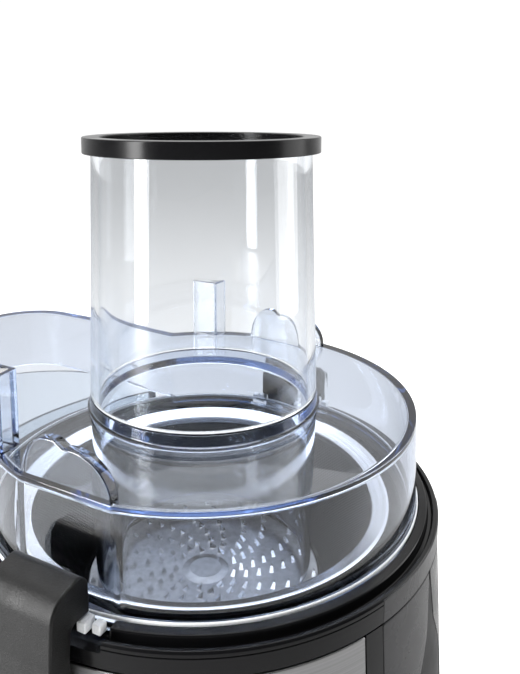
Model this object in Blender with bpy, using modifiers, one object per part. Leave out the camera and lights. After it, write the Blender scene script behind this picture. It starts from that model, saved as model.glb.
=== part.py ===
"""Centrifugal juicer: motor base with clamps, clear lid and feed tube, spinning filter basket and pulp bin.

Sizes are in millimetres and are turned into metres when a mesh is made. The main axis is vertical. An empty
holds it, set forward of the origin so that the origin is the middle of the footprint.
"""
import math

import bmesh
import bpy
from mathutils import Matrix, Vector

MM = 0.001
GAP = 0.3  # clearance between touching pieces

# Driving dimensions, mm
AXIS_Y = -24.0  # main axis, from the middle of the footprint
SEAT_Z = 190.0  # where the lid's flange meets the collar
TUBE_TOP_Z = 319.4
PLATE_Z = 221.9  # flat top of the lid
SEAM_Z = 226.2  # joint between lid and feed tube
BODY_TOP_Z = 179.4
BODY_FOOT_Z = 10.0
BODY_TOP_R = 86.5
BODY_SWELL = 5.0  # how far the body widens towards its foot
BODY_SWELL_SPAN = 140.0
BODY_WALL = 3.0
BOWL_SEAT_R = 81.0  # the well that the bowl stands in
SEAL_WAY_R = 17.0
DECK_Z = 112.0
DECK_THICK = 3.5
LID_RIM_R = 77.9
LID_BASE_R = 78.7
LID_FLANGE_R = 79.4
LID_WALL = 2.6
FACET_X = 76.0  # flat pocket in the lid's wall behind each clamp
TUBE_R = 42.0
TUBE_TOP_R = 39.4
RING_OVERHANG = 3.1
RING_TALL = 5.7
TUBE_WALL = 2.9
TUBE_END_Z = 159.0
PANEL_EDGE = 26.1  # degrees from the front, where the steel panels start
FRONT_EDGE = 21.0  # degrees from the front, where the gloss panels end
PANEL_LOW_Z = 30.0
PANEL_THICK = 1.0
SPINE_TOP_Z = 176.0
# The spine's side from the front: half its width, and the height, going down.
SPINE_SIDE = [(3.7, 160.0), (10.4, 150.0), (14.4, 142.0), (17.6, 108.0), (24.0, 0.0)]
FRONT_LOW_Z = 14.0  # foot of the recess behind the front panels
CLAMP_X = 95.5
CLAMP_Z = 128.0
CLAMP_WIDTH = 25.0
PIN_R = 1.8
CHUTE_HALF = 56.0
CHUTE_END_Y = 150.0
CHUTE_CORNER = 28.0
TAB_THICK = 5.4
DISC_Z = 151.3
BIN_X = 66.0
BIN_Y = 70.0
BIN_CENTRE_Y = 92.0
BIN_TOP_Z = 186.6
KNOB_Z = 56.0
SPOUT_Z = 119.0
WINDOW_HALF = 11.6  # half the width of the opening for the spout
SHAFT_R = 4.0
SHAFT_WAY_R = 5.0
GLAND_ANGLE = 24.0  # degrees from +X towards the back
GLAND_Z = 20.0
GLAND_R = 6.0

COARSE = 24
FINE = 44

for old in list(bpy.data.objects):
    bpy.data.objects.remove(old)


def new_collection(name):
    made = bpy.data.collections.new(name)
    bpy.context.scene.collection.children.link(made)
    return made


PARTS = new_collection("centrifugal_juicer")
TOOLS = new_collection("construction")
AXIS = bpy.data.objects.new("main_axis", None)
AXIS.location = (0, AXIS_Y * MM, 0)
PARTS.objects.link(AXIS)

FINISHES = {  # colour, roughness, metallic
    "black_gloss": ((0.012, 0.012, 0.013), 0.18, 0.0),
    "black_soft": ((0.02, 0.02, 0.021), 0.5, 0.0),
    "charcoal_gloss": ((0.07, 0.07, 0.072), 0.25, 0.0),
    "brushed_steel": ((0.55, 0.55, 0.56), 0.35, 1.0),
    "bright_steel": ((0.75, 0.75, 0.76), 0.2, 1.0),
    "clear": ((0.9, 0.94, 0.97), 0.05, 0.0),
    "smoky_clear": ((0.6, 0.66, 0.7), 0.1, 0.0),
    "rubber": ((0.03, 0.03, 0.03), 0.8, 0.0),
    "copper": ((0.72, 0.32, 0.14), 0.35, 1.0),
    "lamination": ((0.3, 0.3, 0.31), 0.5, 1.0),
    "white_plastic": ((0.8, 0.8, 0.78), 0.4, 0.0),
    "board_green": ((0.03, 0.2, 0.08), 0.5, 0.0),
}
MATERIALS = {}
for finish, (colour, roughness, metallic) in FINISHES.items():
    shade = bpy.data.materials.new(finish)
    shade.use_nodes = True
    shader = shade.node_tree.nodes["Principled BSDF"]
    shader.inputs["Base Color"].default_value = (*colour, 1.0)
    shader.inputs["Roughness"].default_value = roughness
    shader.inputs["Metallic"].default_value = metallic
    MATERIALS[finish] = shade


def body_r(z):
    """Outer radius of the motor base at height z."""
    down = min(1.0, (BODY_TOP_Z - z) / BODY_SWELL_SPAN)
    return BODY_TOP_R + BODY_SWELL * math.sin(down * math.pi / 2)


# ---- making and joining ---------------------------------------------------------------------------------


def add(name, mesh, finish=None, parent=AXIS):
    """Puts a mesh in the model as a part, or with no finish as a construction shape."""
    made = bpy.data.objects.new(name, mesh)
    (PARTS if finish else TOOLS).objects.link(made)
    made.parent = parent
    if finish:
        mesh.materials.append(MATERIALS[finish])
        mesh.shade_smooth()
        mesh.set_sharp_from_angle(angle=math.radians(30))
    else:
        made.hide_render = True
        made.display_type = "WIRE"
    return made


def turned(name, profile, finish=None, steps=FINE, parent=AXIS, at=(0, 0, 0)):
    """Turns (radius, height) points about Z, down the outer side first. A ring's profile closes on itself."""
    mesh = bpy.data.meshes.new(name)
    points = [(r * MM, 0, z * MM) for r, z in profile]
    edges = [(i, i + 1) for i in range(len(points) - 1)]
    if min(r for r, z in profile) > 0:
        edges.append((len(points) - 1, 0))
    mesh.from_pydata(points, edges, [])
    made = add(name, mesh, finish, parent)
    made.location = [v * MM for v in at]
    screw = made.modifiers.new("turn", "SCREW")
    screw.steps = screw.render_steps = steps
    screw.use_merge_vertices = True
    screw.merge_threshold = 0.00001
    screw.use_smooth_shade = True
    return made


def block(name, low, high, finish=None, parent=AXIS, turn=0.0):
    """A box from its low to its high corner, turned about the main axis by degrees."""
    centre = (Vector(low) + Vector(high)) / 2
    size = Vector(high) - Vector(low)
    mesh = bpy.data.meshes.new(name)
    bm = bmesh.new()
    place = Matrix.Rotation(math.radians(turn), 4, "Z") @ Matrix.Translation(centre * MM)
    bmesh.ops.create_cube(bm, size=1, matrix=place @ Matrix.Diagonal((*(size * MM), 1)))
    bm.to_mesh(mesh)
    bm.free()
    return add(name, mesh, finish, parent)


def rod(name, radius, start, end, finish=None, parent=AXIS, sides=24, end_radius=None):
    """A round bar or a cone between two points."""
    start, end = Vector(start) * MM, Vector(end) * MM
    mesh = bpy.data.meshes.new(name)
    bm = bmesh.new()
    turn = (end - start).to_track_quat("Z", "Y").to_matrix().to_4x4()
    place = Matrix.Translation((start + end) / 2) @ turn
    bmesh.ops.create_cone(
        bm,
        cap_ends=True,
        segments=sides,
        radius1=radius * MM,
        radius2=(radius if end_radius is None else end_radius) * MM,
        depth=(end - start).length,
        matrix=place,
    )
    bm.to_mesh(mesh)
    bm.free()
    return add(name, mesh, finish, parent)


def plate(name, outline, low, high, finish=None, parent=AXIS, stand=False):
    """A flat outline given thickness from low to high, along Z, or along Y with the outline in X and Z."""
    curve = bpy.data.curves.new(name, "CURVE")
    curve.dimensions = "2D"
    curve.fill_mode = "BOTH"
    curve.extrude = (high - low) / 2 * MM
    line = curve.splines.new("POLY")
    line.points.add(len(outline) - 1)
    for point, (x, y) in zip(line.points, outline):
        point.co = (x * MM, y * MM, 0, 1)
    line.use_cyclic_u = True
    guide = bpy.data.objects.new(name + "_outline", curve)
    bpy.context.scene.collection.objects.link(guide)
    mesh = bpy.data.meshes.new_from_object(guide.evaluated_get(bpy.context.evaluated_depsgraph_get()))
    bpy.data.objects.remove(guide)
    middle = (low + high) / 2 * MM
    place = Matrix.Translation((0, 0, middle))
    if stand:
        place = Matrix.Translation((0, middle, 0)) @ Matrix.Rotation(math.pi / 2, 4, "X")
    bm = bmesh.new()
    bm.from_mesh(mesh)
    bmesh.ops.remove_doubles(bm, verts=bm.verts, dist=0.000001)
    bmesh.ops.transform(bm, matrix=place, verts=bm.verts)
    bmesh.ops.recalc_face_normals(bm, faces=bm.faces)
    bm.to_mesh(mesh)
    bm.free()
    mesh.name = name
    return add(name, mesh, finish, parent)


def combine(target, operation, *tools):
    for tool in tools:
        step = target.modifiers.new(operation.lower(), "BOOLEAN")
        step.operation = operation
        step.object = tool
        step.solver = "EXACT"
    return target


def cut(target, *tools):
    return combine(target, "DIFFERENCE", *tools)


def join(target, *tools):
    return combine(target, "UNION", *tools)


def keep(target, *tools):
    return combine(target, "INTERSECT", *tools)


def body_band(name, low, high, inside, outside, finish=None, rows=5):
    """A ring that follows the motor base's outer surface, between two distances from it."""
    heights = [high + (low - high) * i / rows for i in range(rows + 1)]
    outer = [(body_r(z) + outside, z) for z in heights]
    inner = [(body_r(z) + inside, z) for z in reversed(heights)]
    return turned(name, outer + inner, finish)


def wedge(name, start, end, low=0.0, high=200.0):
    """A sector of the base, from one angle to another. Angles run from the front towards +X, in degrees."""
    reach = 130.0
    count = max(2, int(abs(end - start) / 30) + 1)
    turns = [math.radians(start + (end - start) * i / count) for i in range(count + 1)]
    outline = [(0.0, 0.0)] + [(reach * math.sin(a), -reach * math.cos(a)) for a in turns]
    return plate(name, outline, low, high)


def pivot(name, x, y, z):
    """An empty on a joint's axis."""
    made = bpy.data.objects.new(name, None)
    made.location = (x * MM, y * MM, z * MM)
    made.parent = AXIS
    PARTS.objects.link(made)
    return made


# ---- motor base ----------------------------------------------------------------------------------------


def make_housing():
    heights = [BODY_TOP_Z - (BODY_TOP_Z - BODY_FOOT_Z) * i / 7 for i in range(8)]
    outer = [(body_r(z), z) for z in heights]
    foot_r = body_r(BODY_FOOT_Z) - BODY_WALL
    deck_low = DECK_Z - DECK_THICK
    inner = [(foot_r, BODY_FOOT_Z), (body_r(deck_low) - BODY_WALL, deck_low)]
    seat = [(SEAL_WAY_R, deck_low), (SEAL_WAY_R, DECK_Z), (BOWL_SEAT_R, DECK_Z), (BOWL_SEAT_R, BODY_TOP_Z)]
    housing = turned("base_housing", outer + inner + seat, "black_gloss")
    recess = PANEL_THICK + GAP
    for side, sign in (("left", -1), ("right", 1)):
        band = body_band(f"panel_recess_{side}", PANEL_LOW_Z - GAP, BODY_TOP_Z + 2, -recess, 4.0)
        start, end = PANEL_EDGE - 0.2, 180 - PANEL_EDGE + 0.2
        keep(band, wedge(f"recess_sector_{side}", sign * start, sign * end))
        cut(housing, band)
    front = body_band("front_recess", FRONT_LOW_Z, BODY_TOP_Z + 2, -recess, 4.0)
    keep(front, wedge("front_recess_sector", -FRONT_EDGE - 0.2, FRONT_EDGE + 0.2))
    gland_way = gland_rod("gland_way", GLAND_R + GAP)
    cut(housing, front, spout_window("spout_window"), shaft_way("knob_shaft_way"), gland_way)


def spout_window(name):
    """A block the size of the opening that the spout comes out of."""
    return block(name, (-WINDOW_HALF, -100, SPOUT_Z - 7.6), (WINDOW_HALF, -70, SPOUT_Z + 8.6))


def shaft_way(name):
    """A rod the size of the hole for the knob's shaft."""
    return rod(name, SHAFT_WAY_R, (0, -100, KNOB_Z), (0, -80, KNOB_Z))


def gland_rod(name, radius, finish=None, sides=24):
    """A rod through the base's wall, where the cord goes in."""
    turn = math.radians(GLAND_ANGLE)
    start, end = ((reach * math.cos(turn), reach * math.sin(turn), GLAND_Z) for reach in (70, 110))
    return rod(name, radius, start, end, finish, sides=sides)


def make_panels():
    for side, sign in (("left", -1), ("right", 1)):
        panel = body_band(
            f"side_panel_{side}", PANEL_LOW_Z, BODY_TOP_Z - GAP, -PANEL_THICK, 0.0, "brushed_steel"
        )
        keep(panel, wedge(f"panel_sector_{side}", sign * PANEL_EDGE, sign * (180 - PANEL_EDGE)))
    top, foot, apex = BODY_TOP_Z - GAP, FRONT_LOW_Z + GAP, SPINE_TOP_Z

    def spine_edge(extra):
        """The spine's outline seen from the front, or one wider than it by extra."""
        side = [(x + extra, z) for x, z in SPINE_SIDE]
        return [(0.0, apex + 3.0 + extra * 8)] + side + [(-x, z) for x, z in reversed(side)]

    spine = body_band("front_spine", foot, apex, -PANEL_THICK, 0.0, "black_gloss")
    keep(spine, plate("spine_outline", spine_edge(0.0), -120, -50, stand=True))
    cut(spine, spout_window("spine_window"), shaft_way("spine_shaft_way"))
    for side, sign in (("left", -1), ("right", 1)):
        panel = body_band(f"front_panel_{side}", foot, top, -PANEL_THICK, 0.0, "charcoal_gloss")
        keep(panel, wedge(f"front_sector_{side}", sign * 0.1, sign * FRONT_EDGE))
        cut(panel, plate(f"front_notch_{side}", spine_edge(GAP), -120, -50, stand=True))
        cut(panel, spout_window(f"front_window_{side}"))


def make_collar():
    outer, foot, shelf, inner = BODY_TOP_R, BODY_TOP_Z + GAP, SEAT_Z - 5.9, LID_FLANGE_R + 0.4
    bead = [(outer - 0.6, SEAT_Z - 2.4), (outer, SEAT_Z - 3.1), (outer, foot)]
    bore = [(inner - 3.4, foot), (inner - 3.4, shelf), (inner, shelf), (inner, SEAT_Z - GAP)]
    groove = [
        (outer - 3.8, SEAT_Z - 0.9), (outer - 3.6, SEAT_Z - 4.4), (outer - 2.3, SEAT_Z - 4.4),
        (outer - 1.9, SEAT_Z - 2.4),
    ]
    profile = bead + bore + groove
    collar = turned("collar_ring", profile, "black_gloss", steps=44)
    for side, sign in (("left", -1), ("right", 1)):
        low, high = sorted((sign * 74.0, sign * 92.0))
        cut(collar, block(f"clamp_notch_{side}", (low, -19.5, 184.4), (high, 19.5, 200)))


def make_base_plate():
    plate_low, plate_high, rim = 7.5, 10.6, 87.8
    profile = [
        (0, plate_high), (rim - 0.8, plate_high), (rim, plate_high - 0.8), (rim, plate_low + 0.6),
        (rim - 0.8, plate_low), (0, plate_low),
    ]
    under = turned("base_plate", profile, "black_soft", steps=36)
    for index in range(8):
        turn = index * 45.0 + 22.5
        cut(under, block(f"vent_{index}", (30, -2.5, 0), (54, 2.5, 20), turn=turn))
    places = {"front_left": (-1, -1), "front_right": (1, -1), "back_left": (-1, 1), "back_right": (1, 1)}
    for place, (sx, sy) in places.items():
        at = (sx * 50.0, sy * 50.0, 0)
        profile = [(0, plate_low - GAP), (9.5, plate_low - GAP), (9.5, 5.0), (8.5, 0.6), (7.9, 0), (0, 0)]
        turned(f"foot_{place}", profile, "rubber", steps=24, at=at)


def make_controls():
    knob = pivot("knob_axis", 0, 0, KNOB_Z)
    face = -body_r(KNOB_Z)
    bezel = rod("knob_bezel", 19.0, (0, face + 6, KNOB_Z), (0, face - 2.4, KNOB_Z), "bright_steel", sides=40)
    cut(bezel, rod("bezel_hole", SHAFT_WAY_R, (0, face + 20, KNOB_Z), (0, face - 20, KNOB_Z)))
    skin = body_band("bezel_seat", 20, 100, -30.0, GAP)
    cut(bezel, skin)
    dial = rod("control_knob", 16.5, (0, face - 2.8, 0), (0, face - 14.0, 0), "black_soft", knob, 36, 15.0)
    grip = block("knob_grip", (-2.6, face - 19.0, -15.0), (2.6, face - 13.0, 15.0), parent=knob)
    join(dial, grip)
    cut(dial, rod("knob_bore", 3.3, (0, face + 5, 0), (0, face - 9.0, 0), parent=knob))
    rod("knob_shaft", 3.0, (0, face + 13.0, 0), (0, face - 8.6, 0), "bright_steel", knob, 16)
    block("power_switch", (-12, face + 13.4, KNOB_Z - 10), (12, face + 31, KNOB_Z + 10), "white_plastic")
    block("circuit_board", (-30, 60, 30), (30, 61.6, 78), "board_green")


def make_gland():
    gland = gland_rod("cord_gland", GLAND_R, "rubber", 20)
    outer, inner = body_r(GLAND_Z) + 7, body_r(GLAND_Z) - 6
    keep(gland, turned("gland_reach", [(outer, 40), (outer, 0), (inner, 0), (inner, 40)]))
    cut(gland, gland_rod("gland_bore", 3.4, sides=16))


# ---- bowl, basket and motor ----------------------------------------------------------------------------


def make_bowl():
    floor = 114.2
    profile = [
        (78.9, 187.0), (78.9, 184.5), (75.8, 184.4), (74.2, floor + 3), (71.2, floor), (20.0, floor),
        (20.0, 130.0), (22.5, 130.0), (22.5, floor + 2.6), (70.2, floor + 2.6), (71.7, floor + 4),
        (73.3, 187.0),
    ]
    bowl = turned("juice_bowl", profile, "smoky_clear")
    nozzle = block("bowl_outlet", (-9.6, -84.5, SPOUT_Z - 4.9), (9.6, -69, SPOUT_Z + 7.0))
    bore = block("bowl_outlet_bore", (-7.6, -95, SPOUT_Z - 2.1), (7.6, -66, SPOUT_Z + 4.8))
    cut(join(bowl, nozzle), bore)
    outside = [
        (-84.9, SPOUT_Z + 7.0), (-104.0, SPOUT_Z + 5.0), (-111.0, SPOUT_Z + 1.0), (-114.0, SPOUT_Z - 7.0),
        (-113.0, SPOUT_Z - 15.0), (-99.0, SPOUT_Z - 15.0), (-97.0, SPOUT_Z - 6.0), (-84.9, SPOUT_Z - 4.9),
    ]
    inside = [
        (-80.0, SPOUT_Z + 4.8), (-103.0, SPOUT_Z + 2.8), (-109.0, SPOUT_Z - 0.5), (-111.6, SPOUT_Z - 7.0),
        (-110.5, SPOUT_Z - 20.0), (-101.4, SPOUT_Z - 20.0), (-99.0, SPOUT_Z - 3.4), (-80.0, SPOUT_Z - 2.1),
    ]
    spout = side_plate("spout", outside, 10.4, "smoky_clear")
    cut(spout, side_plate("spout_bore", inside, 8.0))


def side_plate(name, outline, half, finish=None, parent=AXIS):
    """A flat outline in Y and Z, given thickness to both sides of the middle plane."""
    made = plate(name, [(-y, z) for y, z in outline], -half, half, finish, parent, stand=True)
    made.data.transform(Matrix.Rotation(-math.pi / 2, 4, "Z"))
    return made


def make_basket():
    spin = pivot("spin_axis", 0, 0, 0)
    top = SEAT_Z - 2.6
    sheet = [
        (69.3, top), (69.3, top - 1.0), (64.2, top - 3.2), (46.2, DISC_Z), (44.2, DISC_Z),
        (44.2, DISC_Z + 1.0), (45.6, DISC_Z + 1.0), (63.3, top - 2.2), (68.4, top),
    ]
    turned("filter_basket", sheet, "bright_steel", parent=spin)
    disc = turned(
        "grater_disc", [(0, DISC_Z + 2), (43.7, DISC_Z + 2), (43.7, DISC_Z), (0, DISC_Z)],
        "bright_steel", 36, spin,
    )
    teeth = bpy.data.meshes.new("teeth")
    bm = bmesh.new()
    for row in range(9):
        for step in range(3):
            reach = 13.0 + 8.0 * step + (row % 2) * 3.0
            turn = math.radians(row * 40.0 + step * 8.0)
            spot = (reach * math.cos(turn), reach * math.sin(turn), DISC_Z + 3.0)
            place = Matrix.Translation(Vector(spot) * MM) @ Matrix.Rotation(turn, 4, "Z")
            size = {"radius1": 1.5 * MM, "radius2": 0.3 * MM, "depth": 2.6 * MM}
            bmesh.ops.create_cone(bm, cap_ends=True, segments=4, matrix=place, **size)
    bm.to_mesh(teeth)
    bm.free()
    join(disc, add("tooth_shapes", teeth, parent=spin))
    hub = [
        (0, DISC_Z - GAP), (46.8, DISC_Z - GAP), (46.8, DISC_Z - 3.3), (26.0, 142.0), (26.0, 131.5),
        (16.4, 131.5), (16.4, 137.1), (0, 137.1),
    ]
    turned("basket_hub", hub, "black_soft", 36, spin)
    coupling = [
        (16.0, 136.8), (16.0, 117.0), (13.0, 113.5), (SHAFT_R + GAP, 113.5), (SHAFT_R + GAP, 136.8),
    ]
    turned("drive_coupling", coupling, "white_plastic", COARSE, spin)
    shaft = [(0, 136.0), (SHAFT_R, 136.0), (SHAFT_R, 18.0), (0, 18.0)]
    turned("motor_shaft", shaft, "bright_steel", 20, spin)
    core = [(21.6, 88.0), (21.6, 47.0), (SHAFT_R + GAP, 47.0), (SHAFT_R + GAP, 88.0)]
    turned("rotor_core", core, "lamination", COARSE, spin)
    ring = [(11.0, 44.0), (11.0, 36.5), (SHAFT_R + GAP, 36.5), (SHAFT_R + GAP, 44.0)]
    turned("commutator", ring, "copper", 24, spin)
    fan = turned(
        "cooling_fan", [(30.0, 26.6), (30.0, 25.2), (SHAFT_R + GAP, 25.2), (SHAFT_R + GAP, 26.6)],
        "white_plastic", COARSE, spin,
    )
    for index in range(8):
        low, high = (9.0, -0.7, 17.5), (29.0, 0.7, 25.9)
        join(fan, block(f"fan_blade_{index}", low, high, parent=spin, turn=index * 45.0))


def make_motor():
    turned("field_core", [(38.0, 88.0), (38.0, 47.0), (22.6, 47.0), (22.6, 88.0)], "lamination", COARSE)
    for name, low, high in (("field_coil_upper", 88.3, 96.0), ("field_coil_lower", 39.0, 46.7)):
        turned(name, [(35.0, high), (35.0, low), (24.0, low), (24.0, high)], "copper", COARSE)
    bracket = turned(
        "motor_bracket", [(62.0, 103.0), (62.0, 100.0), (11.3, 100.0), (11.3, 103.0)], "lamination", COARSE
    )
    carrier = turned(
        "lower_bracket", [(50.0, 34.0), (50.0, 31.0), (11.3, 31.0), (11.3, 34.0)], "lamination", COARSE
    )
    for name, low in (("bearing_upper", 98.5), ("bearing_lower", 29.0)):
        ring = [(11.0, low + 6), (11.0, low), (SHAFT_R + GAP, low), (SHAFT_R + GAP, low + 6)]
        turned(name, ring, "bright_steel", 24)
    for name, sign in (("motor_bolt_left", -1), ("motor_bolt_right", 1)):
        x = sign * 44.0
        rod(name, 2.2, (x, 0, 27), (x, 0, 106), "bright_steel", sides=12)
        hole = rod(name + "_way", 2.5, (x, 0, 20), (x, 0, 110), sides=12)
        cut(bracket, hole)
        cut(carrier, hole)
    for index, name in enumerate(("front_left", "front_right", "back_right", "back_left")):
        turn = math.radians(225 + 90 * index)
        at = (54 * math.cos(turn), 54 * math.sin(turn), 0)
        pad = [(0, DECK_Z - DECK_THICK - GAP), (6.5, DECK_Z - DECK_THICK - GAP), (6.5, 103.3), (0, 103.3)]
        turned(f"motor_damper_{name}", pad, "rubber", 16, at=at)
    seal = [(16.7, DECK_Z - 0.2), (16.7, 109.0), (SHAFT_R + GAP, 109.0), (SHAFT_R + GAP, DECK_Z - 0.2)]
    turned("shaft_seal", seal, "rubber", 24)


# ---- lid and feed tube ---------------------------------------------------------------------------------


def chute_outline(inset):
    """The pulp chute seen from above, with round back corners."""
    half, end, corner = CHUTE_HALF - inset, CHUTE_END_Y - inset, CHUTE_CORNER - inset
    outline = [(-half, 20.0), (half, 20.0)]
    for side, start in ((1, 0), (-1, 90)):
        for step in range(7):
            turn = math.radians(start + 15 * step)
            x = side * (half - corner) + corner * math.cos(turn)
            outline.append((x, end - corner + corner * math.sin(turn)))
    return outline


def tab_outline():
    """The half-moon tab above a clamp pocket, in Y and Z from the lid's plate: a taller and a lower lobe."""
    base = -2.0
    tall = [arc_point(5.7, 11.2, 14.0, 18 * step) for step in range(6)]
    low = [arc_point(-3.3, -14.0, 12.2, 90 - 15 * step) for step in range(7)]
    return [(16.9, base)] + tall + [(1.7, 14.0), (-0.7, 12.2)] + low + [(-17.3, base)]


def arc_point(middle, wide, tall, angle):
    """A point of an upright oval arc, by its angle in degrees."""
    turn = math.radians(angle)
    return middle + wide * math.cos(turn), tall * math.sin(turn)


def make_lid():
    under = SEAT_Z - 2.6
    shell = [
        (0, PLATE_Z), (LID_RIM_R - 0.6, PLATE_Z), (LID_RIM_R, PLATE_Z - 0.6), (LID_BASE_R, SEAT_Z),
        (LID_FLANGE_R, SEAT_Z), (LID_FLANGE_R, under), (0, under),
    ]
    lid = turned("lid", shell, "clear")
    join(lid, plate("chute_cover", chute_outline(0.0), SEAT_Z + 0.5, PLATE_Z))
    roof = PLATE_Z - LID_WALL
    hollow = [(0, roof), (LID_RIM_R - LID_WALL, roof), (LID_BASE_R - LID_WALL, SEAT_Z - 10), (0, SEAT_Z - 10)]
    inside = turned("lid_hollow", hollow)
    for side, sign in (("left", -1), ("right", 1)):
        low, high = sorted((sign * FACET_X, sign * 90.0))
        cut(lid, block(f"facet_{side}", (low, -30, SEAT_Z + 0.2), (high, 30, PLATE_Z + 5)))
        low, high = sorted((sign * (FACET_X - LID_WALL), sign * 90.0))
        cut(inside, block(f"facet_back_{side}", (low, -30, SEAT_Z - 20), (high, 30, PLATE_Z + 5)))
    throat = rod("throat", TUBE_R - 2.0, (0, 0, 200), (0, 0, 240), sides=FINE)
    cut(lid, inside, plate("chute_hollow", chute_outline(LID_WALL), SEAT_Z - 6, roof), throat)
    neck = [
        (TUBE_R, SEAM_Z), (TUBE_R + 0.4, PLATE_Z + 1.2), (TUBE_R + 2.0, PLATE_Z - 0.4),
        (TUBE_R + 2.0, PLATE_Z - 1.6), (TUBE_R + 0.1, PLATE_Z - 3.5), (TUBE_R - 1.4, TUBE_END_Z),
        (TUBE_R - 4.0, TUBE_END_Z), (TUBE_R - TUBE_WALL, SEAM_Z),
    ]
    join(lid, turned("neck", neck))
    for side, sign in (("left", -1), ("right", 1)):
        outline = [(y, PLATE_Z + z) for y, z in tab_outline()]
        tab = side_plate(f"tab_{side}", outline, TAB_THICK / 2)
        tab.location.x = sign * (FACET_X - 2.8) * MM
        join(lid, tab)
        grip = [(61.9, 31.3), (70.2, 30.6), (71.3, 30.8), (62.4, 45.5), (61.9, 45.5)]
        tower = plate(f"grip_{side}", [(sign * x, y) for x, y in grip], PLATE_Z - 2.2, SEAT_Z + 57.5)
        join(lid, tower)
        for end in (-1, 1):
            for reach, near, far in ((84.3, 11.0, 14.4), (82.9, 15.2, 18.6)):
                low, high = sorted((sign * (LID_FLANGE_R - 2.0), sign * reach))
                front, back = sorted((end * near, end * far))
                lug = block(f"lug_{side}_{end}_{far}", (low, front, under + 0.2), (high, back, SEAT_Z + 1.0))
                join(lid, lug)
    tube = [
        (TUBE_TOP_R, TUBE_TOP_Z - 3.8), (TUBE_R, SEAM_Z + GAP), (TUBE_R - TUBE_WALL, SEAM_Z + GAP),
        (TUBE_TOP_R - TUBE_WALL, TUBE_TOP_Z - 3.8),
    ]
    turned("feed_tube", tube, "clear")
    outer, inner, top = TUBE_TOP_R + RING_OVERHANG, TUBE_TOP_R - TUBE_WALL - 0.1, TUBE_TOP_Z
    ring = [
        (outer - 0.2, top), (outer, top - 0.4), (outer, top - RING_TALL),
        (TUBE_TOP_R + 0.45, top - RING_TALL), (TUBE_TOP_R + 0.35, top - 3.5), (inner, top - 3.5), (inner, top - 0.4), (inner + 0.3, top),
    ]
    turned("tube_rim_ring", ring, "black_gloss")


# ---- clamps and pulp bin -------------------------------------------------------------------------------


def clamp_outline():
    """The right lever's side view, as X and Z from its pivot: hook, inner side, knuckle, outer side."""
    hook = [(-12.4, 76.0), (-14.4, 74.6), (-15.6, 71.4), (-15.4, 63.4), (-8.2, 63.4), (-7.8, 59.0)]
    inner = [(-5.6, 12.0)]
    knuckle = [(-5.5 * math.cos(a), 5.5 * math.sin(a)) for a in (math.radians(-25 * i) for i in range(8))]
    outer = [(4.4, 20.0), (2.2, 44.0), (0.4, 56.0), (-2.1, 71.3), (-3.4, 72.9)]
    return list(reversed(hook + inner + knuckle + outer))


def make_clamps():
    for side, sign in (("left", -1), ("right", 1)):
        joint = pivot(f"clamp_axis_{side}", sign * CLAMP_X, 0, CLAMP_Z)
        half = CLAMP_WIDTH / 2
        outline = [(sign * x, z) for x, z in clamp_outline()]
        lever = plate(f"clamp_{side}", outline, -half, half, "black_soft", joint, stand=True)
        cut(lever, rod(f"pin_way_{side}", PIN_R + GAP, (0, -20, 0), (0, 20, 0), parent=joint, sides=16))
        x = sign * CLAMP_X
        pin = half + 4.0
        rod(f"hinge_pin_{side}", PIN_R, (x, -pin, CLAMP_Z), (x, pin, CLAMP_Z), "bright_steel", sides=16)
        low, high = sorted((sign * 84.0, sign * (CLAMP_X + 4.5)))
        arm = half + 3.2
        bracket = block(f"clamp_bracket_{side}", (low, -arm, 111.0), (high, arm, 133.0), "black_soft")
        low, high = sorted((sign * 80.0, sign * 110.0))
        slot = block(f"lever_slot_{side}", (low, -half - 0.5, 121.3), (high, half + 0.5, 140.0))
        hole = rod(f"bracket_hole_{side}", PIN_R + GAP, (x, -20, CLAMP_Z), (x, 20, CLAMP_Z), sides=16)
        cut(bracket, slot, body_band(f"bracket_seat_{side}", 80, 160, -40.0, GAP), hole)


def bin_shape(name, inset, front_r, low, high, finish=None):
    """An oval column with a round bite where the motor base stands."""
    mesh = bpy.data.meshes.new(name)
    bm = bmesh.new()
    middle = Vector((0, BIN_CENTRE_Y, (low + high) / 2)) * MM
    size = Matrix.Diagonal((BIN_X - inset, BIN_Y - inset, high - low, 1))
    place = Matrix.Translation(middle) @ Matrix.Scale(MM, 4) @ size
    bmesh.ops.create_cone(bm, cap_ends=True, segments=FINE, radius1=1, radius2=1, depth=1, matrix=place)
    bm.to_mesh(mesh)
    bm.free()
    made = add(name, mesh, finish)
    return cut(made, rod(name + "_bite", front_r, (0, 0, low - 5), (0, 0, high + 5), sides=FINE))


def make_bin():
    outer = bin_shape("pulp_container", 0.0, 95.0, 0.0, BIN_TOP_Z, "smoky_clear")
    cut(outer, bin_shape("bin_hollow", 2.4, 97.4, 2.6, BIN_TOP_Z + 5))


make_housing()
make_panels()
make_collar()
make_base_plate()
make_controls()
make_gland()
make_bowl()
make_basket()
make_motor()
make_lid()
make_clamps()
make_bin()
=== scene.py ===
"""Looks of the centrifugal juicer: fine shapes, materials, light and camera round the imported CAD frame."""
import math

import bmesh
import bpy
from mathutils import Matrix, Vector


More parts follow.
